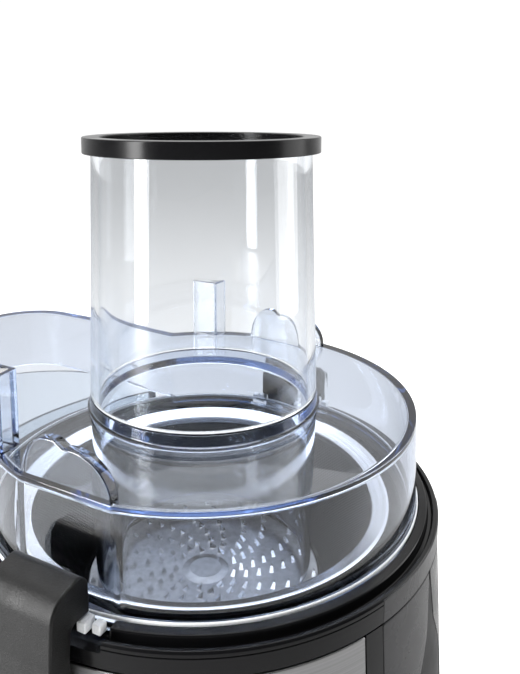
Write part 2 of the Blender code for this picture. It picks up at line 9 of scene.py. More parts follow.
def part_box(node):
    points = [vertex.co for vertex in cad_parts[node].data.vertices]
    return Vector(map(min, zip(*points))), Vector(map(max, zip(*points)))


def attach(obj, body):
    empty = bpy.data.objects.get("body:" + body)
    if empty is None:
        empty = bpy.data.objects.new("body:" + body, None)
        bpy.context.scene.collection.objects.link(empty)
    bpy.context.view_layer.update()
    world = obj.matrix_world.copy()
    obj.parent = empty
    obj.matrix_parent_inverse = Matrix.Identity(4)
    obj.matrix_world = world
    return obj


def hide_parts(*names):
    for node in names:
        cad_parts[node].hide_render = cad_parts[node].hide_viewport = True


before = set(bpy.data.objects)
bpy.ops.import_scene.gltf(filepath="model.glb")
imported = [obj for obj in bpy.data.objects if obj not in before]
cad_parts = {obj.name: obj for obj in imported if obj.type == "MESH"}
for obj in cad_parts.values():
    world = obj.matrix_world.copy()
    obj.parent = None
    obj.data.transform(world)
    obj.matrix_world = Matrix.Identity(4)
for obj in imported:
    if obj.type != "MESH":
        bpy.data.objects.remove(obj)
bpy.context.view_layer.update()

MM = 0.001
STEPS = 192       # sides of a turned piece
FINE_STEPS = 256  # of one that is seen close up
ROUND_STEPS = 128
SHARP = 35.0      # edges bent by more degrees than this stay sharp


def low(node):
    """Lowest corner of a CAD node, mm."""
    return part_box(node)[0] / MM


def high(node):
    """Highest corner of a CAD node, mm."""
    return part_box(node)[1] / MM


def half_width(node):
    """Half the size of a CAD node along X, mm."""
    return (high(node).x - low(node).x) / 2


# ---- places and sizes read from the frame, mm --------------------------------

AXIS = Vector((0.0, (low("motor_shaft").y + high("motor_shaft").y) / 2, 0.0))
SEAT_Z = high("collar_ring").z + 0.3
COLLAR_R = half_width("collar_ring")
COLLAR_LOW_Z = low("collar_ring").z
FLANGE_Z = SEAT_Z - 2.6
GRIP_TOP_Z = high("lid").z
SEAM_Z = low("feed_tube").z - 0.3
PLATE_Z = SEAM_Z - 4.3
TUBE_R = half_width("feed_tube")
TUBE_TOP_Z = high("feed_tube").z
TUBE_TOP_R = TUBE_R - 2.6
RING_R = half_width("tube_rim_ring")
RING_TOP_Z = high("tube_rim_ring").z
RING_LOW_Z = low("tube_rim_ring").z
BOWL_R = half_width("juice_bowl")
BOWL_TOP_Z = high("juice_bowl").z
BOWL_FLOOR_Z = low("juice_bowl").z
BASKET_R = half_width("filter_basket")
BASKET_TOP_Z = high("filter_basket").z
DISC_Z = low("grater_disc").z
DISC_R = half_width("grater_disc")
HUB_R = half_width("basket_hub")
HUB_LOW_Z = low("basket_hub").z
HUB_TOP_Z = high("basket_hub").z
BODY_TOP_Z = high("base_housing").z
BODY_FOOT_Z = low("base_housing").z
BODY_FOOT_R = half_width("base_housing")
BODY_TOP_R = COLLAR_R
BODY_SWELL_SPAN = 140.0
PANEL_LOW_Z = low("side_panel_left").z
PANEL_TOP_Z = high("side_panel_left").z
FRONT_LOW_Z = low("front_panel_left").z
SPINE_TOP_Z = high("front_spine").z
CLAMP_X = (low("hinge_pin_right").x + high("hinge_pin_right").x) / 2
CLAMP_Z = (low("hinge_pin_right").z + high("hinge_pin_right").z) / 2
CLAMP_HALF = (high("clamp_right").y - low("clamp_right").y) / 2
KNOB_Z = (low("control_knob").z + high("control_knob").z) / 2
CHUTE_END = high("lid").y - AXIS.y

LID_RIM_R = 77.9
LID_BASE_R = 78.7
LID_FLANGE_R = 79.4
LID_WALL = 2.6
RIM_ROUND = 0.4
UNDER_ROUND = 0.8  # the same corner inside the lid
EDGE_BAND = 0.62   # depth of the white ring round the flange, painted glow of its lit edge
LUGS = ((84.2, 11.0, 14.2, 1.0), (82.8, 15.2, 18.2, 0.6))  # outer X, first and last Y, top above the seat
FACET_X = 76.0
TAB_THICK = 3.8
TUBE_WALL = 2.9
TUBE_END_Z = 159.0
CHUTE_HALF = 56.0
CHUTE_CORNER = 28.0
PANEL_EDGE = 26.1
FRONT_EDGE = 21.0
PANEL_THICK = 1.0
SPOUT_Z = 119.0  # middle of the way out of the bowl
BOWL_LIP_R = 73.4
BOWL_FLOOR_THICK = 2.6
BASKET_WALL_R = 46.4  # at the disc
TOOTH_ROWS = 18
TEETH_IN_ROW = 7
COLLAR_INNER_R = 76.4
COLLAR_LEDGE_R = 79.8
NOTCH_HALF = 19.5
DECK_DROP = 2.2  # the base's deck under the bowl's floor
DECK_THICK = 3.5
SHAFT_HOLE_R = 17.0
FOOT_ROUND = 2.0
WINDOW_LOW = (-11.6, -100, 111.4)
WINDOW_HIGH = (11.6, -70, 127.6)
BRACKET_X = 88.6
BRACKET_LOW_Z = 111.4
BRACKET_TOP_Z = 133.0
BIN_MIDDLE_Y = 92.0
BIN_EYE = Vector((0.0, 140.0))  # the bin's outline is drawn from here
BIN_BITE_R = 95.0
BIN_WALL = 2.4
BIN_STEPS = 240
SPINE_SIDE = [(3.7, 160.0), (10.4, 150.0), (14.4, 142.0), (17.6, 108.0), (24.0, 0.0)]


def body_r(z):
    """Outer radius of the motor base at height z."""
    down = max(0.0, min(1.0, (BODY_TOP_Z - z) / BODY_SWELL_SPAN))
    return BODY_TOP_R + (BODY_FOOT_R - BODY_TOP_R) * math.sin(down * math.pi / 2)


# ---- materials ---------------------------------------------------------------


class Finish:
    """A Principled material with short ways to add noise, bump and roughness to it."""

    def __init__(self, name, colour, roughness, metallic=0.0, **sockets):
        self.material = bpy.data.materials.new(name)
        self.material.use_nodes = True
        self.nodes = self.material.node_tree.nodes
        self.links = self.material.node_tree.links
        self.shader = self.nodes["Principled BSDF"]
        self.shader.inputs["Base Color"].default_value = (*colour, 1.0)
        self.shader.inputs["Roughness"].default_value = roughness
        self.shader.inputs["Metallic"].default_value = metallic
        for socket, value in sockets.items():
            self.shader.inputs[socket.replace("_", " ")].default_value = value
        self.coords = self.nodes.new("ShaderNodeTexCoord")

    def node(self, kind, **settings):
        """A new node. Each setting is one of its sockets, or else one of its own values."""
        made = self.nodes.new(kind)
        for key, value in settings.items():
            if key in made.inputs:
                made.inputs[key].default_value = value
            else:
                setattr(made, key, value)
        return made

    def noise(self, scale, detail=3.0, stretch=(1, 1, 1)):
        """Noise in metres of the object's own space. Returns its value socket."""
        mapping = self.node("ShaderNodeMapping", Scale=stretch)
        noise = self.node("ShaderNodeTexNoise", Scale=scale, Detail=detail)
        self.links.new(self.coords.outputs["Object"], mapping.inputs["Vector"])
        self.links.new(mapping.outputs["Vector"], noise.inputs["Vector"])
        return noise.outputs["Fac"]

    def rough(self, value, lowest, highest):
        """Spreads a 0 to 1 value over a range of roughness."""
        spread = self.node("ShaderNodeMapRange")
        spread.inputs["From Min"].default_value = 0.3
        spread.inputs["From Max"].default_value = 0.7
        spread.inputs["To Min"].default_value = lowest
        spread.inputs["To Max"].default_value = highest
        self.links.new(value, spread.inputs["Value"])
        self.links.new(spread.outputs["Result"], self.shader.inputs["Roughness"])

    def bump(self, value, strength, distance):
        made = self.node("ShaderNodeBump", Strength=strength, Distance=distance)
        self.links.new(value, made.inputs["Height"])
        self.links.new(made.outputs["Normal"], self.shader.inputs["Normal"])

    def tint(self, value, dark, light, start=0.35, stop=0.65):
        """Colours the surface between two colours by a 0 to 1 value."""
        ramp = self.node("ShaderNodeValToRGB")
        ramp.color_ramp.elements[0].position = start
        ramp.color_ramp.elements[0].color = (*dark, 1.0)
        ramp.color_ramp.elements[1].position = stop
        ramp.color_ramp.elements[1].color = (*light, 1.0)
        self.links.new(value, ramp.inputs["Fac"])
        self.links.new(ramp.outputs["Color"], self.shader.inputs["Base Color"])


def clear_finish(name, tint, edge, absorb, density, lowest, highest):
    """See-through plastic. Its colour builds up in its thickness and where it is seen edge on."""
    made = Finish(name, tint, lowest, Transmission_Weight=1.0, IOR=1.49)
    made.rough(made.noise(60.0, 2.0), lowest, highest)
    made.bump(made.noise(22.0, 1.0), 0.05, 0.0004)
    facing = made.node("ShaderNodeLayerWeight", Blend=0.5)
    made.tint(facing.outputs["Facing"], tint, edge, 0.72, 1.0)
    volume = made.node("ShaderNodeVolumeAbsorption", Color=(*absorb, 1.0), Density=density)
    output = made.nodes["Material Output"]
    made.links.new(volume.outputs["Volume"], output.inputs["Volume"])
    return made.material


def gloss_finish(name, colour, lowest, highest, level=0.16):
    """Polished moulded plastic with a faint orange peel."""
    made = Finish(name, colour, lowest, Specular_IOR_Level=level)
    made.rough(made.noise(90.0), lowest, highest)
    made.bump(made.noise(180.0, 1.0), 0.02, 0.0001)
    return made.material


def grain_finish(name, dark, light, roughness, scale=2600.0, strength=0.35):
    """Soft-touch plastic with a fine moulded grain."""
    made = Finish(name, dark, roughness, Specular_IOR_Level=0.24)
    grain = made.node("ShaderNodeTexVoronoi", Scale=scale)
    made.links.new(made.coords.outputs["Object"], grain.inputs["Vector"])
    made.bump(grain.outputs["Distance"], strength, 0.00012)
    cloud = made.noise(140.0)
    made.rough(cloud, roughness - 0.05, roughness + 0.08)
    made.tint(made.noise(1500.0, 1.0), dark, light)
    return made.material


def brushed_finish(name, dark, light, lowest, highest, stretch=(7, 7, 2200)):
    """Sheet metal with fine brush lines that run round the axis."""
    made = Finish(name, light, lowest, 1.0, Anisotropic=0.5)
    lines = made.noise(1.4, 4.0, stretch)
    made.tint(lines, dark, light, 0.3, 0.7)
    made.rough(lines, lowest, highest)
    made.bump(lines, 0.08, 0.00008)
    return made.material


def mesh_painted_shade_finish(name):
    """The basket's wall: rows of fine holes, in polar coordinates about the main axis.

    It isn't a metal here and its colour is near black: painted shade, so that the basket's inside stays as
    dark as the shaded mesh looks from above.
    """
    made = Finish(name, (0.05, 0.05, 0.05), 0.6, 0.0, Specular_IOR_Level=0.05)
    split = made.node("ShaderNodeSeparateXYZ")
    shift = made.node("ShaderNodeMapping", Location=(-AXIS.x * MM, -AXIS.y * MM, 0.0))
    made.links.new(made.coords.outputs["Object"], shift.inputs["Vector"])
    made.links.new(shift.outputs["Vector"], split.inputs["Vector"])
    turn = made.node("ShaderNodeMath", operation="ARCTAN2")
    made.links.new(split.outputs["Y"], turn.inputs[0])
    made.links.new(split.outputs["X"], turn.inputs[1])
    waves = []
    for source, scale in ((turn.outputs[0], 260.0), (split.outputs["Z"], 4200.0)):
        scaled = made.node("ShaderNodeMath", operation="MULTIPLY")
        scaled.inputs[1].default_value = scale
        made.links.new(source, scaled.inputs[0])
        wave = made.node("ShaderNodeMath", operation="SINE")
        made.links.new(scaled.outputs[0], wave.inputs[0])
        waves.append(wave.outputs[0])
    holes = made.node("ShaderNodeMath", operation="MULTIPLY")
    made.links.new(waves[0], holes.inputs[0])
    made.links.new(waves[1], holes.inputs[1])
    # Painted shade: the wall and its holes are near black instead of steel.
    made.tint(holes.outputs[0], (0.008, 0.0082, 0.0088), (0.001, 0.001, 0.001), 0.15, 0.35)
    made.bump(holes.outputs[0], 0.3, 0.0002)
    made.rough(made.noise(400.0), 0.5, 0.7)
    return made.material


def wound_finish(name, dark, light, stretch):
    """Wound wire or stacked sheet: fine lines across one direction."""
    made = Finish(name, light, 0.35, 0.8)
    lines = made.noise(2.0, 2.0, stretch)
    made.tint(lines, dark, light)
    made.bump(lines, 0.4, 0.0003)
    return made.material


CLEAR = clear_finish(
    "clear_plastic", (0.99, 0.995, 1.0), (0.46, 0.53, 0.62), (0.2, 0.42, 0.66), 16.0, 0.0, 0.03
)
LID_CLEAR = clear_finish(
    "lid_plastic", (0.985, 0.99, 1.0), (0.68, 0.765, 0.885), (0.03, 0.24, 0.57), 62.0, 0.0, 0.03
)
SMOKY = clear_finish(
    "smoky_plastic", (0.9, 0.94, 0.97), (0.6, 0.68, 0.75), (0.3, 0.42, 0.56), 90.0, 0.05, 0.12
)
# Painted light: an opaque white standing in for the glow of the clear lid's lit edges, at its flange and
# lugs.
WHITE_GLOW = grain_finish("white_painted_glow", (0.8, 0.82, 0.84), (0.9, 0.91, 0.92), 0.3, 900.0, 0.1)
BLACK = gloss_finish("black_gloss", (0.004, 0.004, 0.0045), 0.18, 0.26)
CHARCOAL = gloss_finish("charcoal_gloss", (0.03, 0.03, 0.0315), 0.22, 0.32, 0.15)
SATIN = gloss_finish("black_satin", (0.02, 0.02, 0.021), 0.4, 0.5, 0.06)
SOFT = grain_finish("black_soft", (0.003, 0.003, 0.003), (0.006, 0.006, 0.006), 0.42)
RUBBER = grain_finish("black_rubber", (0.012, 0.012, 0.012), (0.022, 0.022, 0.022), 0.75, 1400.0)
BRUSHED = brushed_finish("brushed_steel", (0.2, 0.2, 0.202), (0.28, 0.28, 0.283), 0.36, 0.48)
BRIGHT = brushed_finish("bright_steel", (0.74, 0.74, 0.75), (0.86, 0.86, 0.87), 0.16, 0.26)
TURNED = brushed_finish("turned_steel", (0.3, 0.3, 0.3), (0.42, 0.42, 0.43), 0.3, 0.42, (300, 300, 300))
# The filter's steel mesh, painted near black as the shade inside the basket.
MESH = mesh_painted_shade_finish("filter_mesh_painted_shade")
NYLON = grain_finish("white_nylon", (0.72, 0.72, 0.7), (0.8, 0.8, 0.78), 0.45, 1800.0, 0.15)
BOARD = grain_finish("circuit_board_green", (0.015, 0.12, 0.05), (0.03, 0.2, 0.08), 0.4, 500.0, 0.1)
LAMINATION = wound_finish("motor_laminations", (0.12, 0.12, 0.125), (0.3, 0.3, 0.31), (2, 2, 900))
COPPER = wound_finish("copper_winding", (0.4, 0.14, 0.05), (0.75, 0.34, 0.16), (2, 2, 700))

# ---- mesh making -------------------------------------------------------------


def fillet(points, closed=True, steps=5):
    """Rounds the corners of an outline. A point is (a, b) or (a, b, radius)."""
    out = []
    count = len(points)
    for index, point in enumerate(points):
        radius = point[2] if len(point) > 2 else 0.0
        if not radius or (not closed and index in (0, count - 1)):
            out.append(tuple(point[:2]))
            continue
        corner = Vector(point[:2])
        back = Vector(points[index - 1][:2]) - corner
        ahead = Vector(points[(index + 1) % count][:2]) - corner
        half = back.angle(ahead) / 2
        reach = min(radius / math.tan(half), back.length * 0.49, ahead.length * 0.49)
        radius = reach * math.tan(half)
        centre = corner + (back.normalized() + ahead.normalized()).normalized() * (radius / math.sin(half))
        first = corner + back.normalized() * reach - centre
        last = corner + ahead.normalized() * reach - centre
        sweep = first.angle(last)
        for step in range(steps + 1):
            part = step / steps
            spoke = (math.sin((1 - part) * sweep) * first + math.sin(part * sweep) * last) / math.sin(sweep)
            out.append(tuple(centre + spoke))
    return out


def polar(turn, reach, z):
    """A point by its angle from the front, its distance from the axis and its height."""
    return (reach * math.sin(turn), -reach * math.cos(turn), z)


def add_object(name, data):
    made = bpy.data.objects.new(name, data)
    bpy.context.scene.collection.objects.link(made)
    return made


def as_object(name, bm):
    """Turns a bmesh in mm, about the main axis, into an object in metres in the frame's own place."""
    bmesh.ops.recalc_face_normals(bm, faces=bm.faces)
    bmesh.ops.transform(bm, matrix=Matrix.Scale(MM, 4) @ Matrix.Translation(AXIS), verts=bm.verts)
    mesh = bpy.data.meshes.new(name)
    bm.to_mesh(mesh)
    bm.free()
    return add_object(name, mesh)


def shade(mesh, sharp):
    """Smooth shading up to an angle in degrees."""
    mesh.shade_smooth()
    mesh.set_sharp_from_angle(angle=math.radians(sharp))


def piece(name, bm, material, body, slot, *nodes, sharp=SHARP):
    """A shown piece from a bmesh in mm. It rides on a body and stands for the CAD nodes named."""
    bmesh.ops.remove_doubles(bm, verts=bm.verts, dist=0.0005)
    made = as_object(name, bm)
    made.data.materials.append(material)
    shade(made.data, sharp)
    normals = made.modifiers.new("even_normals", "WEIGHTED_NORMAL")
    normals.keep_sharp = True
    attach(made, body)
    if nodes:
        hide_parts(*nodes)
    return made


def loft(rings, closed=True, capped=False):
    """Faces between rings of equal length. closed joins the last to the first, capped closes both ends."""
    bm = bmesh.new()
    grid = [[bm.verts.new(p) for p in ring] for ring in rings]
    count = len(rings[0])
    pairs = list(zip(grid, grid[1:])) + ([(grid[-1], grid[0])] if closed else [])
    for upper, lower in pairs:
        for i in range(count):
            j = (i + 1) % count
            bm.faces.new((upper[i], upper[j], lower[j], lower[i]))
    if capped:
        bm.faces.new(grid[0])
        bm.faces.new(list(reversed(grid[-1])))
    return bm


def lathe(profile, steps=STEPS):
    """Turns a (radius, height) outline. It is a closed ring, unless its two ends are on the axis."""
    turns = [2 * math.pi * i / steps for i in range(steps)]
    rings = [[polar(turn, r, z) for turn in turns] for r, z in profile]
    return loft(rings, closed=profile[0][0] > 0.001 or profile[-1][0] > 0.001)


def slab(outline, thickness, bevel, turn=None, bevel_steps=3):
    """An outline in X and Z with thickness along Y, both ways from the middle, and rounded edges."""
    bm = bmesh.new()
    near = [bm.verts.new((x, -thickness / 2, z)) for x, z in outline]
    face = bm.faces.new(near)
    grown = bmesh.ops.extrude_face_region(bm, geom=[face])
    moved = [v for v in grown["geom"] if isinstance(v, bmesh.types.BMVert)]
    bmesh.ops.translate(bm, verts=moved, vec=(0, thickness, 0))
    bmesh.ops.recalc_face_normals(bm, faces=bm.faces)
    rims = [e for e in bm.edges if abs(e.verts[0].co.y - e.verts[1].co.y) < 0.001]
    bmesh.ops.bevel(
        bm, geom=rims, offset=bevel, segments=bevel_steps, profile=0.5, affect="EDGES", clamp_overlap=True
    )
    if turn is not None:
        bmesh.ops.transform(bm, matrix=turn, verts=bm.verts)
    return bm


def box_bm(corner_a, corner_b, bevel=0.0, steps=3):
    """A box between two corners with rounded edges."""
    a, b = Vector(corner_a), Vector(corner_b)
    bm = bmesh.new()
    size = Vector([abs(v) for v in (b - a)])
    bmesh.ops.create_cube(bm, size=1, matrix=Matrix.Translation((a + b) / 2) @ Matrix.Diagonal((*size, 1)))
    if bevel:
        bmesh.ops.bevel(bm, geom=bm.edges[:], offset=bevel, segments=steps, profile=0.5, affect="EDGES")
    return bm


def tool(bm):
    """An object for a Boolean, which combine() removes again."""
    return as_object("tool", bm)


def combine(target, operation, tools):
    """Applies Booleans to a piece before its normals are evened, and removes the tools."""
    for made in tools:
        step = target.modifiers.new(operation, "BOOLEAN")
        step.operation = operation
        step.object = made
        step.solver = "EXACT"
        target.modifiers.move(len(target.modifiers) - 1, 0)
        graph = bpy.context.evaluated_depsgraph_get()
        others = [m for m in target.modifiers if m != step]
        for other in others:
            other.show_viewport = False
        graph.update()
        result = bpy.data.meshes.new_from_object(target.evaluated_get(graph))
        target.modifiers.remove(step)
        for other in others:
            other.show_viewport = True
        target.data = result
        bpy.data.objects.remove(made)
    shade(target.data, SHARP)


def mixed(a, b, part):
    """The value that is a part of the way from a to b."""
    return a + (b - a) * part


def soft_min(a, b, k):
    """The lower of two values, with a round change-over about k wide."""
    h = max(0.0, min(1.0, 0.5 + 0.5 * (b - a) / k))
    return mixed(b, a, h) - k * h * (1 - h)


def soft_max(a, b, k):
    return -soft_min(-a, -b, k)


# ---- lid, tube and ring ------------------------------------------------------


def chute_reach(turn, inset):
    """Distance from the axis to the pulp chute's outline in one direction, 0 where it faces away."""
    side, back = abs(math.sin(turn)), -math.cos(turn)
    if back <= 0.02:
        return 0.0
    half, end, corner = CHUTE_HALF - inset, CHUTE_END - inset, CHUTE_CORNER - inset
    reach = min(half / max(side, 1e-6), end / back)
    x, y = reach * side, reach * back
    if x > half - corner and y > end - corner:
        cx, cy = half - corner, end - corner
        along = side * cx + back * cy
        reach = along + math.sqrt(max(0.0, corner**2 - (cx**2 + cy**2 - along**2)))
    return reach


def lid_ring(turns, circle, inset, z, chute_z=None, faceted=True):
    """One ring of the lid: a circle with two flats and, towards the back, the pulp chute."""
    ring = []
    for turn in turns:
        side = abs(math.sin(turn))
        reach = circle
        if faceted and side > 0.6:
            reach = min(circle, (FACET_X - inset) / side)
        chute = chute_reach(turn, inset)
        height = z
        if chute_z is not None:
            height = mixed(z, chute_z, max(0.0, min(1.0, (chute - circle + 1.0) / 1.2)))
        if chute > circle - 4.0:
            reach = soft_max(reach, chute, 1.6)
        ring.append((reach * math.sin(turn), -reach * math.cos(turn), height))
    return ring


def lid_turns():
    """Directions round the lid, closer together where its outline bends."""
    turns = {round(i * 0.8, 3) for i in range(450)}
    facet = math.degrees(math.asin(FACET_X / LID_RIM_R))
    chute = 180 - math.degrees(math.asin(CHUTE_HALF / LID_RIM_R))
    corner = 180 - math.degrees(math.atan2(CHUTE_HALF, CHUTE_END))
    for middle, spread in ((facet, 2.0), (180 - facet, 2.0), (chute, 3.0), (corner, 9.0)):
        for step in range(-12, 13):
            angle = middle + step * spread / 12
            turns |= {round(angle, 3), round(360 - angle, 3)}
    return [math.radians(a) for a in sorted(turns)]


def lid_rings():
    """The lid's shell: up the outside, over the top, down the inner tube and back along the inside."""
    turns = lid_turns()
    chute_z = SEAT_Z + 0.5
    flange, wall = LID_FLANGE_R - EDGE_BAND, LID_WALL
    flat_r = LID_RIM_R - 4
    rings = [
        lid_ring(turns, flange - 0.3, 0.3, FLANGE_Z, chute_z, False),
        lid_ring(turns, flange, 0.0, FLANGE_Z + 0.3, chute_z + 0.2, False),
        lid_ring(turns, flange, 0.0, SEAT_Z - 0.5, chute_z + 0.4, False),
        lid_ring(turns, flange - 0.15, 0.0, SEAT_Z - 0.15, chute_z + 0.5, False),
        lid_ring(turns, flange - 0.5, 0.0, SEAT_Z, chute_z + 0.6),
        lid_ring(turns, LID_BASE_R, 0.0, SEAT_Z + 0.5, chute_z + 0.8),
    ]
    for part in (0.25, 0.5, 0.75, 1.0):
        z = mixed(SEAT_Z + 0.5, PLATE_Z - RIM_ROUND, part)
        rings.append(lid_ring(turns, mixed(LID_BASE_R, LID_RIM_R, part), 0.0, z))
    for step in range(1, 6):
        a = math.radians(18 * step)
        inset = RIM_ROUND * (1 - math.cos(a))
        rings.append(lid_ring(turns, LID_RIM_R - inset, inset, PLATE_Z - RIM_ROUND * (1 - math.sin(a))))
    rings.append(lid_ring(turns, flat_r, 4.0, PLATE_Z))
    rings += [[polar(turn, r, z) for turn in turns] for r, z in neck_profile()]
    under = PLATE_Z - wall
    rings.append(lid_ring(turns, flat_r - wall, 4.0 + wall, under))
    for step in range(5, -1, -1):
        a = math.radians(18 * step)
        inset = wall + UNDER_ROUND * (1 - math.cos(a))
        z = under - UNDER_ROUND + UNDER_ROUND * math.sin(a)
        rings.append(lid_ring(turns, LID_RIM_R - inset, inset, z))
    rings.append(lid_ring(turns, LID_BASE_R - wall, wall, FLANGE_Z + 0.5, chute_z + 0.4))
    rings.append(lid_ring(turns, LID_BASE_R - wall + 0.3, wall - 0.3, FLANGE_Z, chute_z))
    return rings


def neck_profile():
    """From the flat top up the short neck, over its lip, down inside the tube and up under the top."""
    outline = [
        (TUBE_R + 9.0, PLATE_Z), (TUBE_R + 0.5, PLATE_Z, 0.8), (TUBE_R, SEAM_Z - 0.3, 0.15),
        (TUBE_R - TUBE_WALL, SEAM_Z - 0.3, 0.15),
        (TUBE_R - 4.0, TUBE_END_Z, 0.6), (TUBE_R - 1.4, TUBE_END_Z, 0.6),
        (TUBE_R + 0.1, PLATE_Z - LID_WALL, 0.8), (TUBE_R + 9.0, PLATE_Z - LID_WALL),
    ]
    return fillet(outline, closed=False, steps=6)


def tab_outline():
    """The half-moon tab over a clamp pocket, in Y and Z: a tall lobe, a step and a lower lobe."""
    base, top = PLATE_Z - 1.6, PLATE_Z
    tall = [arc_point(5.7, 11.0, top, 14.0, 6 * step) for step in range(15)]
    low_lobe = [arc_point(-3.3, -14.0, top, 12.4, 90 - 6 * step) for step in range(16)]
    notch = [(3.1, top + 14.0), (-0.4, top + 12.0), (-1.8, top + 12.35)]
    return [(16.7, base)] + tall + notch + low_lobe + [(-17.3, base)]


def arc_point(middle, wide, foot, tall, angle):
    """A point of an upright oval arc, by its angle in degrees."""
    turn = math.radians(angle)
    return middle + wide * math.cos(turn), foot + tall * math.sin(turn)


def make_lid():
    lid = piece("lid_shell", loft(lid_rings()), LID_CLEAR, "base", "clear_plastic", "lid")
    extras = []
    for sign in (-1, 1):
        turn = Matrix.Translation((sign * (FACET_X - 2.0), 0, 0)) @ Matrix.Rotation(math.pi / 2, 4, "Z")
        extras.append(tool(slab(tab_outline(), TAB_THICK, 0.5, turn)))
        extras.append(tool(grip_bm(sign)))
    combine(lid, "UNION", extras)
    make_lugs()
    # The flange's bright edge is a white ring: painted glow where the clear plastic carries the light.
    edge = fillet([
        (LID_FLANGE_R, SEAT_Z + 0.3, 0.3), (LID_FLANGE_R, SEAT_Z - 0.9, 0.2),
        (LID_FLANGE_R - 0.5, SEAT_Z - 0.9), (LID_FLANGE_R - 0.6, SEAT_Z + 0.3, 0.3),
    ])
    piece("lid_flange_edge", lathe(edge, FINE_STEPS), WHITE_GLOW, "base", "clear_plastic", "lid")


def make_lugs():
    """Two small stops at each end of each clamp pocket, in opaque white: painted glow of the clear lid."""
    lugs = bmesh.new()
    for sign in (-1, 1):
        for end in (-1, 1):
            for reach, near, far, top in LUGS:
                centre = Vector((sign * (LID_FLANGE_R + 0.3 + reach) / 2, end * (near + far) / 2, 0))
                size = Vector((reach - LID_FLANGE_R - 0.3, far - near, SEAT_Z + top - FLANGE_Z - 0.3))
                centre.z = FLANGE_Z + 0.3 + size.z / 2
                place = Matrix.Translation(centre) @ Matrix.Diagonal((*size, 1))
                bmesh.ops.create_cube(lugs, size=1, matrix=place)
    bmesh.ops.bevel(lugs, geom=lugs.edges[:], offset=0.45, segments=3, profile=0.5, affect="EDGES")
    piece("lid_lugs", lugs, WHITE_GLOW, "base", "clear_plastic", "lid")


def grip_bm(sign):
    """An upright hollow grip at the lid's back corner, open towards the rear."""
    outer = fillet([
        (61.9, 31.3, 0.8), (70.2, 30.6, 0.8), (70.4, 32.4, 0.3), (64.0, 33.2, 0.6), (64.0, 45.2, 0.3),
        (61.9, 45.4, 0.3),
    ])
    base, top = PLATE_Z - 1.2, GRIP_TOP_Z
    bm = bmesh.new()
    lower = [bm.verts.new((sign * x, y, base)) for x, y in outer]
    face = bm.faces.new(lower)
    grown = bmesh.ops.extrude_face_region(bm, geom=[face])
    moved = [v for v in grown["geom"] if isinstance(v, bmesh.types.BMVert)]
    bmesh.ops.translate(bm, verts=moved, vec=(0, 0, top - base))
    rims = [e for e in bm.edges if e.verts[0].co.z > top - 0.01 and e.verts[1].co.z > top - 0.01]
    bmesh.ops.bevel(bm, geom=rims, offset=0.4, segments=3, profile=0.5, affect="EDGES")
    return bm


def make_tube():
    """The feed tube, the dark seal in its joint with the lid, and the black ring on its top."""
    top_r, base_z = TUBE_TOP_R, SEAM_Z + 0.3
    profile = fillet([
        (top_r, TUBE_TOP_Z, 0.4), (TUBE_R, base_z, 0.15), (TUBE_R - TUBE_WALL, base_z, 0.15),
        (top_r - TUBE_WALL, TUBE_TOP_Z, 0.4),
    ])
    piece("feed_tube_wall", lathe(profile, FINE_STEPS), CLEAR, "base", "clear_plastic", "feed_tube")
    seal = fillet([
        (TUBE_R, base_z - 0.03, 0.1), (TUBE_R, SEAM_Z - 0.27, 0.1), (TUBE_R - 1.6, SEAM_Z - 0.27, 0.1),
        (TUBE_R - 1.6, base_z - 0.03, 0.1),
    ])
    piece("tube_seal", lathe(seal, FINE_STEPS), SOFT, "base", "clear_plastic", "feed_tube")
    inner_r = top_r - TUBE_WALL - 0.1
    ring = fillet([
        (RING_R, RING_TOP_Z, 0.45), (RING_R, RING_LOW_Z, 0.3), (top_r + 0.4, RING_LOW_Z, 0.2),
        (top_r + 0.3, TUBE_TOP_Z + 0.3), (inner_r, TUBE_TOP_Z + 0.3, 0.2), (inner_r, RING_TOP_Z, 0.6),
    ])
    piece("tube_ring", lathe(ring, FINE_STEPS), BLACK, "base", "black_gloss", "tube_rim_ring")


# ---- bowl, basket and disc ---------------------------------------------------


def make_bowl():
    floor = BOWL_FLOOR_Z
    seal = fillet([
        (BOWL_R, BOWL_TOP_Z, 0.5), (BOWL_R, BOWL_TOP_Z - 0.8, 0.3), (BOWL_LIP_R, BOWL_TOP_Z - 0.8, 0.2),
        (BOWL_LIP_R, BOWL_TOP_Z, 0.5),
    ])
    piece("bowl_seal", lathe(seal), SOFT, "base", "black_soft", "juice_bowl")
    profile = fillet([
        (BOWL_R, BOWL_TOP_Z - 0.82, 0.3), (BOWL_R, BOWL_TOP_Z - 2.5, 0.8),
        (BOWL_R - 3.1, BOWL_TOP_Z - 2.6, 0.5), (74.2, floor, 5.0),
        (20.0, floor, 0.5), (20.0, floor + 15.8, 0.6), (22.5, floor + 15.8, 0.6),
        (22.5, floor + BOWL_FLOOR_THICK, 1.5), (71.7, floor + BOWL_FLOOR_THICK, 4.0),
        (BOWL_R - 5.6, BOWL_TOP_Z - 0.82, 0.3),
    ])
    bowl = piece("juice_bowl_wall", lathe(profile), SMOKY, "base", "smoky_plastic", "juice_bowl")
    out_y = low("juice_bowl").y - AXIS.y
    nozzle = box_bm((-9.6, out_y, SPOUT_Z - 4.9), (9.6, -69, SPOUT_Z + 7.0), 0.5)
    combine(bowl, "UNION", [tool(nozzle)])
    bore = box_bm((-7.6, out_y - 5, SPOUT_Z - 2.1), (7.6, -66, SPOUT_Z + 4.8), 0.4)
    combine(bowl, "DIFFERENCE", [tool(bore)])


